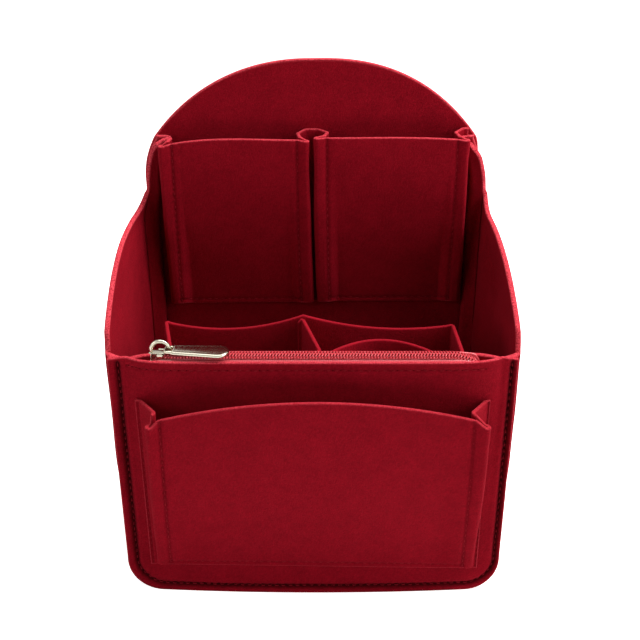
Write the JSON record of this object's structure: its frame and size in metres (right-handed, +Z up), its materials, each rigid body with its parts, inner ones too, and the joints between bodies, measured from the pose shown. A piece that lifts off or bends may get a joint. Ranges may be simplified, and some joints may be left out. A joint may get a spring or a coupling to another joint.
{
  "type": "backpack organizer",
  "caption": "Felt insert for a small backpack: domed back, wraparound gusset, folded open pockets front and back, and a zipped front pocket with a sliding pull.",
  "frame": {"origin": "middle of the underside, on the surface the organizer stands on", "axes": "+Z up, the zipped front faces -Y, +X to the right as seen from the front"},
  "size_m": [0.227, 0.1533, 0.2876],
  "materials": {
    "felt": "matte",
    "pocket_felt": "matte",
    "zip_tape": "satin",
    "zip_coil": "gloss",
    "nickel": "polished"
  },
  "bodies": {
    "organizer": {"back_panel": "felt", "side_and_bottom_gusset": "felt", "front_wall": "felt", "zip_pocket_panel": "pocket_felt", "front_pocket": "pocket_felt", "back_pockets": "pocket_felt", "inner_pocket_wall": "pocket_felt", "inner_pocket_divider": "pocket_felt", "card_pocket": "pocket_felt", "zip_tape_front": "zip_tape", "zip_tape_rear": "zip_tape", "zip_coil_front": "zip_coil", "zip_coil_rear": "zip_coil"},
    "slider": {"slider_body": "nickel", "slider_bail": "nickel"},
    "pull": {"pull_tab": "nickel"}
  },
  "joints": [
    {"name": "slider_travel", "type": "slide", "parent": "organizer", "child": "slider", "axis": [1, 0, 0], "range_m": [0, 0.158]},
    {"name": "pull_swing", "type": "hinge", "parent": "slider", "child": "pull", "pos_m": [-0.0825, -0.06265, 0.16145], "axis": [0, -1, 0], "range_deg": [0, 170]}
  ]
}
